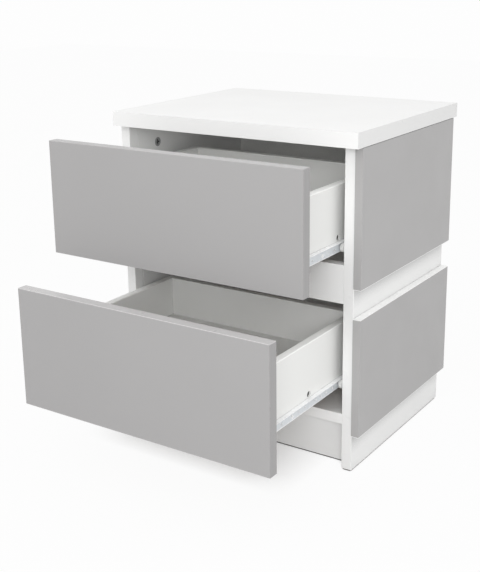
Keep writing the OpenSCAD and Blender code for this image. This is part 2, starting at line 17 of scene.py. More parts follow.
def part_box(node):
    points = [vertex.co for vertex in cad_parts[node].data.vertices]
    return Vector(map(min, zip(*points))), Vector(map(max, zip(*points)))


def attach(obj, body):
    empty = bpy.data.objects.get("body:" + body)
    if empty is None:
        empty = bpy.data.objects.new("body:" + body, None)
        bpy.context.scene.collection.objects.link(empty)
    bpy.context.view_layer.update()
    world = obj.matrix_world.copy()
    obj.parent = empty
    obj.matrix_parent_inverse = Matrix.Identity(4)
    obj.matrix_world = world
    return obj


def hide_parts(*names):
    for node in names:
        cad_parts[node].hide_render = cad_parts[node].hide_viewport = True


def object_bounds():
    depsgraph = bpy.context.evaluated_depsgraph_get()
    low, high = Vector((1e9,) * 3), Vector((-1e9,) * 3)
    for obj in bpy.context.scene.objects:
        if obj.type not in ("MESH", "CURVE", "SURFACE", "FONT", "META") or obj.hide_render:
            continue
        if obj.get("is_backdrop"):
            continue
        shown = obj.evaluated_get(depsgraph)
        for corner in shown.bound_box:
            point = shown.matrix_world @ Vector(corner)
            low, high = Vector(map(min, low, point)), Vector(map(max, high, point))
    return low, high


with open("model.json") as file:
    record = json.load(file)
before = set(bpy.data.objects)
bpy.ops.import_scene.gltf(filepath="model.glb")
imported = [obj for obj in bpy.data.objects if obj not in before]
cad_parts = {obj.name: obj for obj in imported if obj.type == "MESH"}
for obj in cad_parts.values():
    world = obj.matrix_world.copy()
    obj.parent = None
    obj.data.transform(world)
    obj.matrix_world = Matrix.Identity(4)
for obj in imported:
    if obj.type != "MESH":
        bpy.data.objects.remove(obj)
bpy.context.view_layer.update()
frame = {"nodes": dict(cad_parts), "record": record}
SHELL = frame["nodes"]
SLOT_OF = {row["node"]: row["material_slot"] for row in frame["record"]["subparts"]}
BODY_OF = {
    node: body
    for body, members in frame["record"]["behaviour"]["bodies"].items()
    for node in members
}
MM = 0.001
TOUCHING = 1e-6

# %% [markdown]
# ## Small helpers for finishes
#
# Every finish here is procedural: it is computed from noise at the real scale of the surface, so
# it needs no image and looks right from any distance. A few helpers keep the node code short.
# `add` makes one shader node and fills its sockets, either with a plain value or with a link from
# another node. `grain` makes a noise whose features have a given size in millimetres, which is
# easier to reason about than a scale number. `spread`, `blend` and `combine` turn such values
# into tones and masks.

# %% Helpers that build shader nodes
def new_finish(name, **values):
    """A material, its node tree and its shader, with plain values set on the shader's sockets."""
    material = bpy.data.materials.new(name)
    material.use_nodes = True
    shader = material.node_tree.nodes["Principled BSDF"]
    for socket, value in values.items():
        shader.inputs[socket.replace("_", " ")].default_value = value
    return material, material.node_tree, shader


def add(tree, kind, settings=None, **inputs):
    """One shader node. An input is a number, a colour or another node's output.

    A socket is given by its name, or by its place where the name is shared: _0 is the first.
    """
    made = tree.nodes.new("ShaderNode" + kind)
    for key, value in (settings or {}).items():
        setattr(made, key, value)
    for key, value in inputs.items():
        socket = made.inputs[int(key[1:]) if key[1:].isdigit() else key.replace("_", " ")]
        if isinstance(value, bpy.types.NodeSocket):
            tree.links.new(value, socket)
        else:
            socket.default_value = value
    return made


def grain(tree, feature_mm, detail=2.0, stretch=(1, 1, 1), rough=0.5):
    """Noise from 0 to 1 whose features are about feature_mm across, fixed to the piece."""
    where = add(tree, "TexCoord").outputs["Object"]
    if stretch != (1, 1, 1):
        where = add(tree, "Mapping", Vector=where, Scale=stretch).outputs["Vector"]
    noise = add(tree, "TexNoise", Vector=where, Scale=1 / (feature_mm * MM), Detail=detail,
                Roughness=rough)
    return noise.outputs["Fac"]


def spread(tree, value, low, high, start=0.3, end=0.7):
    """Maps a value between start and end onto the range from low to high."""
    made = add(tree, "MapRange", Value=value, **{"From_Min": start, "From_Max": end,
                                                 "To_Min": low, "To_Max": high})
    return made.outputs["Result"]


def blend(tree, factor, first, second):
    """Mixes two colours by a factor."""
    made = add(tree, "Mix", {"data_type": "RGBA"}, _0=factor, _6=first, _7=second)
    return made.outputs[2]


def combine(tree, operation, first, second):
    """One value from two, by a named operation."""
    return add(tree, "Math", {"operation": operation}, _0=first, _1=second).outputs["Value"]


def shade(colour, factor):
    """The same colour, lighter or darker."""
    return tuple(min(1.0, c * factor) for c in colour) + (1.0,)


print("helpers ready")

# %% [markdown]
# ## Where edges wear and where shade is painted
#
# Boards get handled at their corners, so a real edge is a little paler and rougher than the face
# beside it. The Bevel node gives the normal that a rounded edge would have. Where that differs
# from the true normal, we are near an edge, and the difference makes a mask. Multiplied by a
# noise, the mask becomes a few worn spots in place of an even outline. The second mask is for
# painted shade: an ambient occlusion node finds seams, sockets and corners, where shade falls,
# and the finishes darken their colour there. Leaning its normal upward makes it look for what
# hangs above a face, such as a ledge, and not for what lies below, which gives a painted shadow
# under the ledge.

# %% The masks for worn edges and for painted shade
def worn_edges(tree, width_mm, spots_mm):
    """From 0 on the face to 1 at the most worn spots of the edges."""
    rounded = add(tree, "Bevel", {"samples": 8}, Radius=width_mm * MM).outputs["Normal"]
    true = add(tree, "NewGeometry").outputs["Normal"]
    dot = add(tree, "VectorMath", {"operation": "DOT_PRODUCT"}, _0=rounded, _1=true)
    near = spread(tree, dot.outputs["Value"], 1.0, 0.0, start=0.75, end=0.98)
    spots = spread(tree, grain(tree, spots_mm, detail=3), 0.0, 1.0, start=0.42, end=0.70)
    return combine(tree, "MULTIPLY", near, spots)


# The painted-shade mask: 1 in seams, sockets, corners and under ledges, where shade falls.
def painted_shade_mask(tree, reach_mm, start=0.25, end=0.75, lean=0.0):
    """From 0 on open faces to 1 where other surfaces stand closer than the reach."""
    air = add(tree, "AmbientOcclusion", {"samples": 8}, Distance=reach_mm * MM)
    if lean:
        true = add(tree, "NewGeometry").outputs["Normal"]
        raised = add(tree, "VectorMath", {"operation": "ADD"}, _0=true, _1=(0, 0, lean))
        upward = add(tree, "VectorMath", {"operation": "NORMALIZE"}, _0=raised.outputs["Vector"])
        tree.links.new(upward.outputs["Vector"], air.inputs["Normal"])
    return spread(tree, air.outputs["AO"], 1.0, 0.0, start=start, end=end)


print("edge and hollow masks ready")

# %% [markdown]
# ## Melamine board
#
# The cabinet is made of chipboard with a printed and resin-soaked paper pressed onto it. The
# plate that presses it leaves a fine pearl texture, under a millimetre across and a few
# hundredths deep. Light catches it as a soft satin sheen. A very slow change in tone, over a
# hand's width, keeps a big face from looking like a flat fill, and the roughness changes a little
# where hands have wiped it.
#
# The edge bands are smoother and glossier strips of the same material, and no band has quite the
# shade of its board. Several bands are lighter or darker copies of their board's colour, set by
# how
# light falls on them: painted highlight and painted shade, noted where each is made. The clad
# side panel carries a painted shadow below each ledge, and a painted shade line runs where the
# cladding meets the top and the side.

# %% The melamine finish, for white and grey boards and their edge bands
CLOUD_MM, WIPED_MM, SPECK_MM = 140, 60, 1.7
EDGE_WEAR_MM, EDGE_SPOTS_MM = 0.9, 30


def melamine(name, colour, gloss=0.36, wear=0.08, pearl_mm=0.8, depth_mm=0.03, seams=None,
             seam_shade=0.55):
    """A satin board face with a pearl texture, slow tone changes, worn edges and painted shade if
    asked.
    """
    material, tree, shader = new_finish(name, Specular_IOR_Level=0.32)
    pearl = grain(tree, pearl_mm, detail=3)
    cloud = spread(tree, grain(tree, CLOUD_MM, detail=1.5), 0.0, 1.0, start=0.2, end=0.8)
    speck = spread(tree, grain(tree, SPECK_MM, detail=2), 0.0, 0.22)
    base = blend(tree, cloud, shade(colour, 0.985), shade(colour, 1.01))
    base = blend(tree, speck, base, shade(colour, 0.965))
    worn = worn_edges(tree, EDGE_WEAR_MM, EDGE_SPOTS_MM)
    tint = blend(tree, worn, base, shade(colour, 1.0 + wear * 0.4))
    # Painted shade: the colour darkens where the mask finds seams, corners and ledges.
    if seams:
        tint = blend(tree, painted_shade_mask(tree, **seams), tint, shade(colour, seam_shade))
    wiped = spread(tree, grain(tree, WIPED_MM, detail=4), gloss - 0.05, gloss + 0.09)
    bump = add(tree, "Bump", Height=pearl, Distance=depth_mm * MM, Strength=0.35)
    tree.links.new(tint, shader.inputs["Base Color"])
    tree.links.new(wiped, shader.inputs["Roughness"])
    tree.links.new(bump.outputs["Normal"], shader.inputs["Normal"])
    return material


def edge_band(name, colour, factor, gloss=0.30, **seam):
    """A smooth, glossier strip whose shade is the board's colour times a factor."""
    return melamine(name, shade(colour, factor)[:3], gloss=gloss, depth_mm=0.012, **seam)


WHITE = (0.873, 0.873, 0.867)
GREY = (0.362, 0.356, 0.356)
# Painted light: the cladding's grey is a lighter copy of the fronts' grey, for light from the
# right.
LIT_SIDE_GREY = (0.432, 0.426, 0.425)
# Masks for painted shade: a thin line in seams, and a soft shadow below each ledge.
WIDE_SEAM_SHADE = dict(reach_mm=4.0, start=0.35, end=0.65)
LEDGE_SHADOW = dict(reach_mm=30.0, start=0.60, end=0.86, lean=0.8)
white_face = melamine("white_melamine", WHITE)
white_band = edge_band("white_edge_band", WHITE, 1.02)
# Painted shade: the top board's bands are darker copies of the white band, its short ends most.
top_band = edge_band("top_edge_band", WHITE, 0.995)
top_end_band = edge_band("top_end_band", WHITE, 0.92)
# Painted shadow: the clad side panel darkens softly below each cladding ledge.
side_white = melamine("side_white_melamine", WHITE, seams=LEDGE_SHADOW, seam_shade=0.66)
# Painted shade: the clad side panel's front band is a darker copy of the white band.
side_band = edge_band("side_white_edge_band", WHITE, 0.985)
grey_face = melamine("grey_melamine", GREY)
# Painted highlight: the fronts' long edges are lighter copies of the grey, the lower front's
# most.
upper_band = edge_band("upper_long_edge_band", GREY, 1.20)
lower_band = edge_band("lower_long_edge_band", GREY, 1.55)
# Painted shade: the fronts' short ends are a darker copy of the grey.
end_band = edge_band("grey_end_band", GREY, 0.97, gloss=0.32)
# Painted shade: the cladding's grey darkens in a thin line under the top board and by the side
# panel.
side_grey = melamine("side_grey_melamine", LIT_SIDE_GREY, seams=WIDE_SEAM_SHADE, seam_shade=0.4)
# Painted highlight: a brighter copy of the white band, with a painted shade line at its seam.
ledge_band = edge_band("ledge_white_edge_band", WHITE, 1.10, seams=WIDE_SEAM_SHADE, seam_shade=0.35)
finishes = (white_face, white_band, top_band, top_end_band, side_white, side_band, grey_face,
            upper_band, lower_band, end_band, side_grey, ledge_band)
print("melamine finishes:", [m.name for m in finishes])

# %% [markdown]
# ## Chipboard core
#
# Edges that nobody sees are left bare: the backs of the panels and their undersides. There the
# core shows, a mat of pressed wood chips a few millimetres long, straw to brown, with small pits
# between them. A Voronoi texture gives every chip its own flat tone, and stretching it lays the
# chips flat.

# %% The bare core of the boards
CHIP_MM = 2.4
STRAW, BROWN, DUST = (0.56, 0.42, 0.27, 1), (0.30, 0.19, 0.10, 1), (0.66, 0.53, 0.37, 1)


def chipboard(name):
    """Pressed chips, each with its own tone, with pits between them."""
    material, tree, shader = new_finish(name, Roughness=0.92, Specular_IOR_Level=0.2)
    where = add(tree, "TexCoord").outputs["Object"]
    bent = add(tree, "Mapping", Vector=where, Scale=(0.55, 0.55, 1.0)).outputs["Vector"]
    chips = add(tree, "TexVoronoi", Vector=bent, Scale=1 / (CHIP_MM * MM), Randomness=1.0)
    tone = add(tree, "SeparateColor", Color=chips.outputs["Color"]).outputs[0]
    base = blend(tree, tone, STRAW, BROWN)
    fine = spread(tree, grain(tree, 0.7, detail=4), 0.0, 0.5)
    base = blend(tree, fine, base, DUST)
    height = combine(tree, "ADD", chips.outputs["Distance"], fine)
    bump = add(tree, "Bump", Height=height, Distance=0.25 * MM, Strength=0.7)
    tree.links.new(base, shader.inputs["Base Color"])
    tree.links.new(bump.outputs["Normal"], shader.inputs["Normal"])
    return material


bare_core = chipboard("chipboard_core")
print("core finish:", bare_core.name)

# %% [markdown]
# ## Foil-wrapped drawer boards
#
# Drawer sides and backs are cheaper: a thin printed foil folded round a chipboard strip. The foil
# is smoother and a touch greener than the melamine. Over the folded top edge it is glossier, and
# a whiter copy of the foil there is a painted highlight. Painted shade darkens the foil in its
# seams and corners. The same melamine recipe with other numbers gives both.

# %% The drawer boards' foil
FOIL = (0.868, 0.870, 0.854)
SMOOTH = dict(pearl_mm=1.4, depth_mm=0.015)
# Painted shade: the foil darkens in its seams and corners.
THIN_SEAM_SHADE = dict(reach_mm=2.0, start=0.35, end=0.65)
drawer_foil = melamine("drawer_foil", FOIL, gloss=0.42, wear=0.1, seams=THIN_SEAM_SHADE, **SMOOTH)
# Painted highlight: the folded top edge is a whiter copy of the foil.
foil_fold_highlight = melamine("drawer_foil_fold", shade(FOIL, 1.14)[:3], gloss=0.34, **SMOOTH)
print("drawer finishes:", [m.name for m in (drawer_foil, foil_fold_highlight)])

# %% [markdown]
# ## Thin fibreboard
#
# The back panel and the drawer bottoms are 3 mm fibreboard. One side is lacquered pale and is
# smooth, with faint fibres under the lacquer and painted shade along its seams. The back panel's
# lacquer is a lighter copy, painted light, and the drawer bottoms' a darker one, painted shade.
# The other side is bare and brown, and carries the print of the wire mesh that it was pressed on.
# Two crossed waves give that print.

# %% The two sides of the fibreboard
MESH_PITCH_MM = 1.5
LIGHT_FIBRE, DARK_FIBRE = (0.31, 0.22, 0.145, 1), (0.20, 0.135, 0.085, 1)


def lacquered_fibre(name, colour, shaded_seam_mm=1.5):
    """The pale, smooth side, with painted shade along its seams."""
    material, tree, shader = new_finish(name, Specular_IOR_Level=0.4)
    fibres = grain(tree, 2.2, detail=5, stretch=(1, 0.25, 1))
    base = blend(tree, spread(tree, fibres, 0.0, 1.0), shade(colour, 0.96), shade(colour, 1.02))
    # Painted shade along the seams.
    base = blend(tree, painted_shade_mask(tree, shaded_seam_mm, start=0.35, end=0.65), base, shade(colour, 0.6))
    rough = spread(tree, grain(tree, 30, detail=3), 0.38, 0.5)
    bump = add(tree, "Bump", Height=fibres, Distance=0.02 * MM, Strength=0.4)
    tree.links.new(base, shader.inputs["Base Color"])
    tree.links.new(rough, shader.inputs["Roughness"])
    tree.links.new(bump.outputs["Normal"], shader.inputs["Normal"])
    return material


def bare_fibre(name, across):
    """The brown side, with a mesh print along X and along the other named axis."""
    material, tree, shader = new_finish(name, Roughness=0.85, Specular_IOR_Level=0.25)
    where = add(tree, "TexCoord").outputs["Object"]
    waves = [
        add(tree, "TexWave", {"bands_direction": axis}, Vector=where, Distortion=0.6, Detail=1.0,
            Scale=0.31 / (MESH_PITCH_MM * MM)).outputs["Fac"]
        for axis in ("X", across)
    ]
    mesh_print = combine(tree, "MULTIPLY", *waves)
    fibres = spread(tree, grain(tree, 5, detail=6), 0.0, 1.0)
    base = blend(tree, fibres, DARK_FIBRE, LIGHT_FIBRE)
    bump = add(tree, "Bump", Height=mesh_print, Distance=0.18 * MM, Strength=0.7)
    tree.links.new(base, shader.inputs["Base Color"])
    tree.links.new(bump.outputs["Normal"], shader.inputs["Normal"])
    return material


# Painted light and shade: the back's lacquer is a lighter copy, the drawer bottoms' a darker one.
lit_pale_back = lacquered_fibre("lacquered_back", (0.872, 0.874, 0.856))
shaded_pale_bottom = lacquered_fibre("lacquered_bottom", (0.760, 0.762, 0.745))
brown_back = bare_fibre("bare_fibreboard_back", "Z")
brown_under = bare_fibre("bare_fibreboard_underside", "Y")
print("fibreboard finishes:", [m.name for m in (lit_pale_back, shaded_pale_bottom, brown_back, brown_under)])

# %% [markdown]
# ## Metal and plastic
#
# The runners are rolled sheet steel with a white epoxy coat. The folds and flanges show the white
# coat. The flat web faces sideways under the flange, and its darker blue-grey copy of the coat is
# painted shade. Such a coat has a gentle orange-peel waviness. Cams are dull die-cast zinc with
# painted shade in their sockets, screws are bright-plated steel, the rollers are moulded nylon,
# and the bottom locks are near-black, painted shade for the dark of their holes. One recipe takes
# a base colour, a worn colour and the size of the waviness, and each material gives its own
# numbers.

# %% One recipe for coated, cast, plated and moulded pieces
HOLLOW_SHADE_BLACK = (0.012, 0.012, 0.012, 1)


def shop_finish(name, colour, worn, rough, wave_mm, depth_mm, metal=0.0, wear_mm=0.35, coat=0.0,
                painted_hollow_mm=0.0):
    """A hard finish with fine waviness, uneven gloss, worn edges and painted shade where surfaces
    crowd.
    """
    material, tree, shader = new_finish(name, Metallic=metal, Coat_Weight=coat)
    clouds = spread(tree, grain(tree, 18, detail=2), 0.0, 1.0)
    base = blend(tree, clouds, shade(colour, 0.975), shade(colour, 1.015))
    base = blend(tree, worn_edges(tree, wear_mm, 6), base, shade(worn, 1.0))
    # Painted shade: near-black where other surfaces stand close.
    if painted_hollow_mm:
        base = blend(tree, painted_shade_mask(tree, painted_hollow_mm), base, HOLLOW_SHADE_BLACK)
    gloss = spread(tree, grain(tree, 7, detail=5), rough - 0.06, rough + 0.10)
    peel = grain(tree, wave_mm, detail=2)
    bump = add(tree, "Bump", Height=peel, Distance=depth_mm * MM, Strength=0.5)
    tree.links.new(base, shader.inputs["Base Color"])
    tree.links.new(gloss, shader.inputs["Roughness"])
    tree.links.new(bump.outputs["Normal"], shader.inputs["Normal"])
    return material


white_coat = shop_finish("white_epoxy_coat", (0.955, 0.96, 0.965), (0.84, 0.85, 0.86),
                         0.30, 1.8, 0.03, coat=0.3)
# Painted shade: the web's coat is a darker blue-grey copy of the white coat.
web_shade_coat = shop_finish("web_painted_shade_coat", (0.69, 0.72, 0.745), (0.55, 0.57, 0.59),
                        0.38, 1.8, 0.03, coat=0.15)
cast_zinc = shop_finish("cast_zinc", (0.42, 0.42, 0.425), (0.70, 0.70, 0.71), 0.50, 0.6, 0.04,
                        metal=0.5, painted_hollow_mm=5.0)
plated_steel = shop_finish("plated_steel", (0.62, 0.62, 0.64), (0.80, 0.79, 0.76), 0.30, 0.5,
                           0.02, metal=1.0)
roller_nylon = shop_finish("roller_nylon", (0.80, 0.80, 0.78), (0.62, 0.61, 0.58), 0.40, 1.2,
                           0.02, wear_mm=0.8)
glide_plastic = shop_finish("glide_plastic", (0.76, 0.76, 0.74), (0.55, 0.54, 0.51), 0.45, 1.0,
                            0.02, wear_mm=0.6)
# Painted shade: the bottom locks are near-black, for the dark of the holes they sit in.
lock_plastic = shop_finish("dark_lock_plastic", (0.016, 0.016, 0.017), (0.05, 0.05, 0.05), 0.5,
                           1.0, 0.02)
print("shop finishes: two coats, zinc, plated steel, nylon, two plastics")

# %% [markdown]
# ## Beech dowels
#
# The dowels are hidden in their bores, but a cut-open view shows them, so they get a simple wood:
# a noise stretched along the grain, with the short dark flecks that beech has.

# %% The dowels' beech
BEECH, LATE_WOOD, FLECK = (0.55, 0.36, 0.20, 1), (0.66, 0.47, 0.29, 1), (0.38, 0.22, 0.11, 1)


def beech(name):
    """Straight-grained beech with short flecks."""
    material, tree, shader = new_finish(name, Roughness=0.62)
    rings = grain(tree, 1.5, detail=4, stretch=(0.12, 0.12, 1))
    flecks = grain(tree, 0.6, detail=2, stretch=(0.3, 0.3, 1))
    flecks = spread(tree, flecks, 0.0, 1.0, start=0.6, end=0.72)
    base = blend(tree, spread(tree, rings, 0.0, 1.0), BEECH, LATE_WOOD)
    base = blend(tree, flecks, base, FLECK)
    bump = add(tree, "Bump", Height=rings, Distance=0.05 * MM, Strength=0.4)
    tree.links.new(base, shader.inputs["Base Color"])
    tree.links.new(bump.outputs["Normal"], shader.inputs["Normal"])
    return material


dowel_beech = beech("dowel_beech")
print("wood finish:", dowel_beech.name)

# %% [markdown]
# ## Dressing a board
#
# The solids have knife-sharp edges, and real boards never do. The edge band is a strip 0.8 mm
# thick that is glued on and milled to a small radius, and the glue line shows as a fine line on
# the face.
#
# `dress` takes a solid's mesh, merges the triangles of each flat face, and cuts a line 0.8 mm in
# from each banded side. It then rounds the outer edges that touch a band. Every face is given its
# material by where it lies: on a band, on a bare side, or on the face. The new mesh keeps the
# solid's exact size and holes and stands in for it.
#
# A bevel modifier on the solid itself would be quicker, but it would also round every tiny edge
# of the screw holes, and then all radii would be limited by the smallest of them.

# %% Turn a solid into a dressed piece
BAND_T = 0.8 * MM
ON_SIDE = 0.01 * MM
FLAT_WITHIN, SMOOTH_BELOW = math.radians(0.4), math.radians(50)
FACE, BAND, BARE = 0, 1, 2
SIDES = {"-x": (0, 0), "+x": (0, 1), "-y": (1, 0), "+y": (1, 1), "-z": (2, 0), "+z": (2, 1)}


def clean_mesh(node):
    """The solid's mesh with merged points and whole flat faces."""
    bm = bmesh.new()
    bm.from_mesh(SHELL[node].data)
    bmesh.ops.remove_doubles(bm, verts=bm.verts, dist=TOUCHING)
    bmesh.ops.dissolve_limit(bm, angle_limit=FLAT_WITHIN, verts=bm.verts, edges=bm.edges)
    return bm


def side_value(node, side):
    """The axis of a side and its coordinate on that axis."""
    axis, end = SIDES[side]
    return axis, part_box(node)[end][axis]


def outer_edges(bm, node, sides):
    """Edges of the solid's box that touch one of the named sides."""
    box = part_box(node)
    found = []
    for edge in bm.edges:
        ends = [v.co for v in edge.verts]
        touched = [
            side for side, (axis, end) in SIDES.items()
            if all(abs(p[axis] - box[end][axis]) < TOUCHING for p in ends)
        ]
        if len(touched) == 2 and set(touched) & set(sides):
            found.append(edge)
    return found


def keep(bm, name, like, materials):
    """Makes the piece, shows it in place of its solid, and ties it to the solid's body."""
    for edge in bm.edges:
        edge.smooth = len(edge.link_faces) == 2 and edge.calc_face_angle(0) < SMOOTH_BELOW
    for face in bm.faces:
        face.smooth = True
    mesh = bpy.data.meshes.new(name)
    bm.to_mesh(mesh)
    bm.free()
    piece = bpy.data.objects.new(name, mesh)
    bpy.context.scene.collection.objects.link(piece)
    for material in materials:
        mesh.materials.append(material)
    even = piece.modifiers.new("even_faces", "WEIGHTED_NORMAL")
    even.keep_sharp = True
    even.weight = 100
    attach(piece, BODY_OF[like])
    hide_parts(like)
    return piece


def dress(node, face, band=None, banded=(), raw=(), bare=None, radius_mm=0.5, line=True):
    """A board with banded sides, raw sides and softened edges; line cuts the glue line."""
    bm = clean_mesh(node)
    for side in banded if line else ():
        axis, value = side_value(node, side)
        point, normal = Vector((0, 0, 0)), Vector((0, 0, 0))
        point[axis] = value + (BAND_T if side[0] == "-" else -BAND_T)
        normal[axis] = 1
        parts = list(bm.verts) + list(bm.edges) + list(bm.faces)
        bmesh.ops.bisect_plane(bm, geom=parts, plane_co=point, plane_no=normal, dist=1e-7)
    bmesh.ops.bevel(bm, geom=outer_edges(bm, node, banded), offset=radius_mm * MM, segments=3,
                    profile=0.5, affect="EDGES", clamp_overlap=True)
    limits = [(*side_value(node, s), BAND_T if line else radius_mm * MM, BAND) for s in banded]
    limits += [(*side_value(node, s), ON_SIDE, BARE) for s in raw]
    for f in bm.faces:
        middle = f.calc_center_median()
        hits = [i for axis, value, near, i in limits if abs(middle[axis] - value) <= near]
        f.material_index = min(hits) if hits else FACE
    return keep(bm, node + "_dressed", node, [face, band or face, bare or bare_core])


def own_band(piece, node, material, sides):
    """Gives the named sides of a banded board a band of their own."""
    piece.data.materials.append(material)
    for axis, value in (side_value(node, side) for side in sides):
        for polygon in piece.data.polygons:
            if abs(polygon.center[axis] - value) <= BAND_T:
                polygon.material_index = len(piece.data.materials) - 1


print("board tools ready; band thickness in mm:", BAND_T / MM)

# %% [markdown]
# ## The white carcass
#
# Which sides carry a band follows from what the eye can reach. The top board is banded all round.
# The side panels and the bottom panel have a band on the front only, and stay bare at the back
# and at the feet. The rail between the drawers is banded above and below, because the open
# drawers show both. The top board and the clad side panel have finishes of their own. The top
# board's bands are darker copies of the white band, painted shade, and its short ends are the
# darkest. The clad side panel's front band is a darker copy too, and a painted shadow lies on the
# panel below each cladding ledge.

# %% Dress the carcass boards
ALL_ROUND = ("-x", "+x", "-y", "+y")
CARCASS = {
    "top_panel": dict(banded=ALL_ROUND, radius_mm=0.7),
    "left_side_panel": dict(banded=("-y",), raw=("+y", "-z")),
    "right_side_panel": dict(banded=("-y",), raw=("+y", "-z")),
    "bottom_panel": dict(banded=("-y",), raw=("+y",)),
    "middle_rail": dict(banded=("-z", "+z")),
    "plinth": dict(banded=("-z",)),
    "rear_rail": dict(raw=("-z", "+z")),
}
OWN_FINISH = {"top_panel": (white_face, top_band), "right_side_panel": (side_white, side_band)}
boards = {}
for node, sides in CARCASS.items():
    boards[node] = dress(node, *OWN_FINISH.get(node, (white_face, white_band)), **sides)
own_band(boards["top_panel"], "top_panel", top_end_band, ("-x", "+x"))
print("carcass boards dressed:", len(CARCASS))

# %% [markdown]
# ## Grey fronts and cladding
#
# The drawer fronts are banded on all four edges. The long top and bottom edges carry a lighter
# grey, a painted highlight, and the short ends a slightly darker one, a painted shade. The lower
# front stands in the shade of the upper one and has the lightest band, a stronger painted
# highlight, so that both read alike. The cladding boards are grey on their upright edges too, and
# their grey is a lighter copy of the fronts' grey, painted light from the right. The long edges
# that show carry a white band, painted brighter than the carcass band as a highlight, so the
# strip between the two boards reads as one white recess. The upper board's top edge is hidden
# under the top board and stays grey, a painted shade in the gap there.

# %% Dress the fronts and the cladding
GREY_RADIUS_MM = 0.6
FRONT_EDGES = ("-x", "+x", "-z", "+z")
for node, band in (("upper_drawer_front", upper_band), ("lower_drawer_front", lower_band)):
    board = dress(node, grey_face, end_band, banded=FRONT_EDGES, radius_mm=GREY_RADIUS_MM)
    own_band(board, node, band, ("-z", "+z"))

CLADDING_EDGES = ("-y", "+y", "-z", "+z")
# Painted shade: the upper board's top edge keeps the cladding grey in the gap under the top
# board.
for node, ledges in (("upper_side_cladding", ("-z",)), ("lower_side_cladding", ("-z", "+z"))):
    board = dress(node, side_grey, side_grey, banded=CLADDING_EDGES, radius_mm=GREY_RADIUS_MM)
    own_band(board, node, ledge_band, ledges)
print("grey boards dressed: 4")

# %% [markdown]
# ## Drawer boxes
#
# The foil folds over the top edge of each drawer side without a joint, so those edges get a
# larger radius and no glue line. The ends stay bare. The bottoms slide in grooves: pale side up,
# brown side down.

# %% Dress the drawer boxes and the thin panels
FOLDED = dict(banded=("+z",), radius_mm=1.4, line=False)
for drawer in ("upper_drawer", "lower_drawer"):
    for side in ("left_side", "right_side"):
        dress(f"{drawer}_{side}", drawer_foil, foil_fold_highlight, raw=("+y", "-y"), **FOLDED)
    dress(f"{drawer}_back", drawer_foil, foil_fold_highlight, **FOLDED)
    dress(f"{drawer}_bottom", shaded_pale_bottom, raw=("-z",), bare=brown_under)
dress("back_panel", lit_pale_back, raw=("+y",), bare=brown_back)
print("drawer boards and thin panels dressed: 9")

# %% [markdown]
# ## Rolled steel runners
#
# A runner is a strip of sheet steel bent in a roll mill, so its long edges are round and its
# holes stay crisp. Rounding only edges longer than a few millimetres does exactly that: the short
# edges that make up a round hole are left alone. The upright web faces sideways, so its faces are
# found by their normals and get the darker coat, a painted shade, and everything that was folded
# gets the white one. So does the lowest strip of a drawer runner's web, as a painted highlight
# along its lower edge.

# %% Soften the runners' folds
WEB_HIGHLIGHT_MM = 1.3
SHARP_ABOVE, UPRIGHT = math.radians(60), 0.98


def fold(node, radius_mm=0.35, shortest_mm=4.0, highlight_mm=0.0):
    """A steel piece with rounded long edges; the web's lowest strip can keep the white coat, a
    painted highlight.
    """
    bm = clean_mesh(node)
    long_edges = [
        e for e in bm.edges
        if len(e.link_faces) == 2 and e.calc_length() > shortest_mm * MM
        and e.calc_face_angle(0) > SHARP_ABOVE
    ]
    bmesh.ops.bevel(bm, geom=long_edges, offset=radius_mm * MM, segments=2, profile=0.5,
                    affect="EDGES", clamp_overlap=True)
    highlight_z = min(v.co.z for v in bm.verts) + highlight_mm * MM
    if highlight_mm:
        bmesh.ops.bisect_plane(bm, geom=bm.verts[:] + bm.edges[:] + bm.faces[:],
                               plane_co=(0, 0, highlight_z), plane_no=(0, 0, 1))
    for f in bm.faces:
        # Painted shade on the upright web; the strip below it keeps the white coat as a painted
        # highlight.
        upright = abs(f.normal.x) > UPRIGHT and f.calc_center_median().z > highlight_z
        f.material_index = 1 if upright else 0
    return keep(bm, node + "_folded", node, [white_coat, web_shade_coat])


runners = [n for n in SHELL if n.endswith(("_cabinet_runner", "drawer_left_runner",
                                           "drawer_right_runner"))]
for node in runners:
    fold(node, highlight_mm=0.0 if "cabinet" in node else WEB_HIGHLIGHT_MM)
print("runners folded:", len(runners))

# %% [markdown]
# ## Moulded rollers and glides
#
# A nylon roller isn't a plain disc. It has a crowned tread with rounded shoulders, a sunk web to
# save material, and a hub round its bore. Such a round piece is quickest made as a lathe would:
# draw half of its section, then spin it about its axle. The section stays inside the solid's
# radius and width, so nothing rubs when the drawer runs.

# %% Spin a section about an axis
def lathe(bm, section, centre, axis, steps=64):
    """Spins (along, radius) points about an axis through centre, into a closed ring."""
    out = Vector((0, 0, 1)) if axis == "x" else Vector((1, 0, 0))
    along = Vector((1, 0, 0)) if axis == "x" else Vector((0, 0, 1))
    ring = [bm.verts.new(centre + along * a * MM + out * r * MM) for a, r in section]
    edges = [bm.edges.new((p, ring[(i + 1) % len(ring)])) for i, p in enumerate(ring)]
    bmesh.ops.spin(bm, geom=ring + edges, cent=centre, axis=along, dvec=(0, 0, 0),
                   angle=math.tau, steps=steps, use_merge=True)
    bmesh.ops.remove_doubles(bm, verts=bm.verts, dist=TOUCHING)


def face_outward(bm):
    """Turns all faces outward."""
    bmesh.ops.recalc_face_normals(bm, faces=bm.faces)


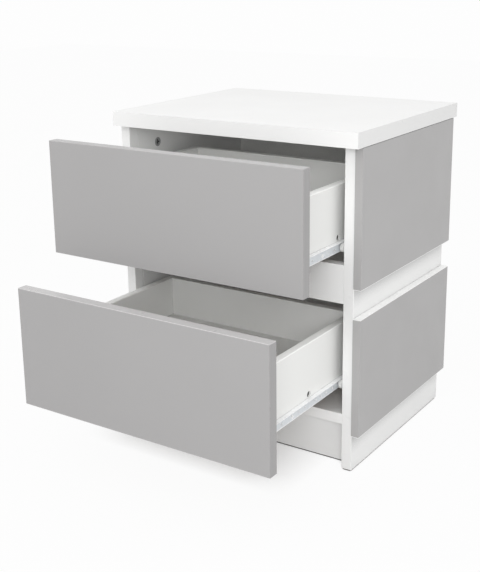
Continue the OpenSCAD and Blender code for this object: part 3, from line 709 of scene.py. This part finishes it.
ROLLER_HALF = [(0.0, 7.5), (1.6, 7.46), (2.3, 7.32), (2.65, 7.0), (2.8, 6.65), (2.8, 6.3),
               (2.6, 6.1), (1.9, 6.0), (1.7, 5.8), (1.7, 4.9), (1.9, 4.6), (2.6, 4.45),
               (2.8, 4.2), (2.8, 3.4), (2.6, 3.05)]
ROLLER_SECTION = ROLLER_HALF + [(-a, r) for a, r in reversed(ROLLER_HALF) if a > 0]
rollers = [n for n in SHELL if n.endswith("_roller")]
for node in rollers:
    low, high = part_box(node)
    bm = bmesh.new()
    lathe(bm, ROLLER_SECTION, (low + high) / 2, "x")
    face_outward(bm)
    keep(bm, node + "_moulded", node, [roller_nylon])
print("rollers moulded:", len(rollers))

# %% [markdown]
# The glides are small discs with a nail through them, one near each corner. Their lower edge is
# rounded, so that the cabinet can be pushed along without catching.

# %% Spin the floor glides
glide_low, glide_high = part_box("floor_glides")
GLIDE_R, NAIL_R, NAIL_TIP = 7.0, 1.2, 1.5
glide_t = (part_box("left_side_panel")[0].z - glide_low.z) / MM
nail_top = (glide_high.z - glide_low.z) / MM
glide_section = [(0.0, 0.4), (0.0, 6.2), (0.12, 6.6), (0.45, 6.92), (0.8, GLIDE_R),
                 (glide_t, GLIDE_R), (glide_t, NAIL_R), (nail_top - NAIL_TIP, NAIL_R),
                 (nail_top, 0.3)]
bm = bmesh.new()
for x in (glide_low.x + GLIDE_R * MM, glide_high.x - GLIDE_R * MM):
    for y in (glide_low.y + GLIDE_R * MM, glide_high.y - GLIDE_R * MM):
        lathe(bm, glide_section, Vector((x, y, glide_low.z)), "z", steps=40)
bmesh.ops.holes_fill(bm, edges=[e for e in bm.edges if len(e.link_faces) == 1], sides=64)
face_outward(bm)
keep(bm, "floor_glides_moulded", "floor_glides", [glide_plastic])
print("glides spun: 4")

# %% [markdown]
# ## Fasteners
#
# Cams, bolts, screws, nails, dowels and bottom locks already have their real shapes, cross slots
# included, so they keep their solids and only receive a finish.

# %% Finish the fasteners
FASTENERS = {"cast_zinc": cast_zinc, "steel_fastener": plated_steel, "beech": dowel_beech,
             "lock_plastic": lock_plastic}
shown = 0
for node, solid in SHELL.items():
    if SLOT_OF[node] in FASTENERS:
        solid.data.materials.clear()
        solid.data.materials.append(FASTENERS[SLOT_OF[node]])
        shown += 1
print("fastener groups finished:", shown)

# %% [markdown]
# ## Floor, light and camera
#
# A product studio stands the cabinet on a white sweep and surrounds it with large soft lamps. The
# floor is white paper. To the camera it glows, so that it has no horizon. Inside a rectangle
# under the cabinet, whose borders fade, it glows less and keeps the soft shadow. In the narrow
# gap beneath the boards it doesn't glow at all, and to the camera the paper is painted nearly
# black there, a painted shade that draws the dark line of contact. The world is white to the
# camera and in reflections, and a little dimmer as a lamp, which leaves room for the soft boxes
# to shape the forms.

# %% The floor and the world
HALF_FLOOR = 6.0
floor_mesh = bpy.data.meshes.new("studio_floor")
corners = [(x * HALF_FLOOR, y * HALF_FLOOR, 0) for x, y in ((-1, -1), (1, -1), (1, 1), (-1, 1))]
floor_mesh.from_pydata(corners, [], [(0, 1, 2, 3)])
floor = bpy.data.objects.new("studio_floor", floor_mesh)
bpy.context.scene.collection.objects.link(floor)
floor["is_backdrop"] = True

WHITE_SEEN = 0.985
PAPER_SHADES = (0.72, 0.72, 0.72, 1), (0.73, 0.73, 0.73, 1)
GAP_PAINTED_SHADE, PAPER_SEEN = (0.10, 0.10, 0.10, 1), (0.97, 0.97, 0.97, 1)
SHADOW_FAR, SHADOW_NEAR = 0.04, 0.62
# Each border of the shadow's rectangle: its axis, and where its fade starts and ends, in metres.
FADES = (("X", -0.226, -0.146), ("X", 0.154, 0.074), ("Y", -0.160, -0.100), ("Y", 0.270, 0.190))
GAP_MM = 25


def rays_that_look(tree):
    """1 for rays from the camera, or by way of a mirror or clear piece; 0 for rays that light."""
    path = add(tree, "LightPath")
    seen = path.outputs["Is Camera Ray"]
    for other in ("Is Glossy Ray", "Is Transmission Ray"):
        seen = combine(tree, "MAXIMUM", seen, path.outputs[other])
    return seen


paper, tree, shader = new_finish("studio_paper", Roughness=0.9, Specular_IOR_Level=0.1)
tone = blend(tree, spread(tree, grain(tree, 400, detail=2), 0.0, 1.0), *PAPER_SHADES)
where = add(tree, "TexCoord").outputs["Object"]
along = add(tree, "SeparateXYZ", Vector=where).outputs
near = 1.0
for axis, outer, inner in FADES:
    near = combine(tree, "MULTIPLY", near,
                   spread(tree, along[axis], 0.0, 1.0, start=outer, end=inner))
share = spread(tree, near, 1.0 - SHADOW_FAR, 1.0 - SHADOW_NEAR, start=0.0, end=1.0)
air = add(tree, "AmbientOcclusion", {"samples": 16}, Distance=GAP_MM * MM).outputs["AO"]
open_air = spread(tree, air, 0.0, 1.0, start=0.18, end=0.5)
# Painted shade: to the camera, the paper is nearly black in the narrow gaps beneath the boards.
paper_seen = blend(tree, open_air, GAP_PAINTED_SHADE, PAPER_SEEN)
tone = blend(tree, rays_that_look(tree), tone, paper_seen)
tree.links.new(tone, shader.inputs["Base Color"])
for factor in (rays_that_look(tree), open_air):
    share = combine(tree, "MULTIPLY", share, factor)
glow = add(tree, "Emission", Color=(1, 1, 1, 1), Strength=WHITE_SEEN).outputs[0]
mixed = add(tree, "MixShader", _0=share, _1=shader.outputs[0], _2=glow).outputs[0]
tree.links.new(mixed, tree.nodes["Material Output"].inputs["Surface"])
floor_mesh.materials.append(paper)

world = bpy.data.worlds.new("studio_air")
bpy.context.scene.world = world
world.use_nodes = True
sky = world.node_tree
AIR_LIGHT = 0.80
strength = spread(sky, rays_that_look(sky), AIR_LIGHT, WHITE_SEEN, start=0.0, end=1.0)
backdrop = sky.nodes["Background"]
backdrop.inputs["Color"].default_value = (1, 1, 1, 1)
sky.links.new(strength, backdrop.inputs["Strength"])
print("floor and world made; world as a lamp:", AIR_LIGHT)

# %% [markdown]
# Four square lamps face the middle of the cabinet. Two weak ones, overhead and far on the right,
# only lift the top and the clad side. The one high in front lights the drawer fronts. The
# strongest stands beside the camera, where it reaches into the open drawers.

# %% The soft boxes
def soft_box(name, place, target, size, watts):
    """A square lamp of a size in metres that faces a point."""
    data = bpy.data.lights.new(name, "AREA")
    data.shape, data.size, data.energy = "SQUARE", size, watts
    lamp = bpy.data.objects.new(name, data)
    lamp.location = place
    lamp.rotation_euler = (Vector(target) - Vector(place)).to_track_quat("-Z", "Y").to_euler()
    bpy.context.scene.collection.objects.link(lamp)
    return lamp


MIDDLE = (0, 0, 0.25)
soft_box("overhead_box", (0.2, -0.9, 2.5), MIDDLE, 1.8, 4.5)
soft_box("front_top_box", (0.2, -1.9, 2.1), MIDDLE, 1.2, 9)
soft_box("right_box", (2.4, -1.4, 1.4), MIDDLE, 1.8, 2.5)
soft_box("camera_side_box", (1.45, -2.4, 1.25), MIDDLE, 1.0, 27)
print("soft boxes: 4")

# %% [markdown]
# The camera stands well back with a long lens, a little above the top of the cabinet, and looks
# at its front right corner. It is aimed by three plain angles. The lens is shifted down a little,
# as a view camera's would be, so that the cabinet sits low in the frame without tilting the
# uprights.

# %% The camera
AZIMUTH, ELEVATION, ROLL = 33.94, 15.01, -0.80
STANDS_AT = (0.8194, -1.2443, 0.7223)
SENSOR_MM, LENS_MM, LENS_SHIFT = 36, 63.9, -0.0892
camera_data = bpy.data.cameras.new("studio_camera")
camera_data.sensor_width = SENSOR_MM
camera_data.lens = LENS_MM
camera_data.shift_y = LENS_SHIFT
camera = bpy.data.objects.new("studio_camera", camera_data)
aim = (
    Matrix.Rotation(math.radians(AZIMUTH), 4, "Z")
    @ Matrix.Rotation(math.radians(90 - ELEVATION), 4, "X")
    @ Matrix.Rotation(math.radians(ROLL), 4, "Z")
)
camera.matrix_world = Matrix.Translation(STANDS_AT) @ aim
bpy.context.scene.collection.objects.link(camera)
bpy.context.scene.camera = camera
bpy.context.scene.view_settings.view_transform = "Standard"
print("camera placed; lens in mm:", LENS_MM)

# %% [markdown]
# ## The dressed size
#
# Dressing must not change the object's size. The last cell prints the dressed size.

# %% Print the dressed size
low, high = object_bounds()
print("dressed size in mm:", [round(v / MM, 1) for v in high - low])
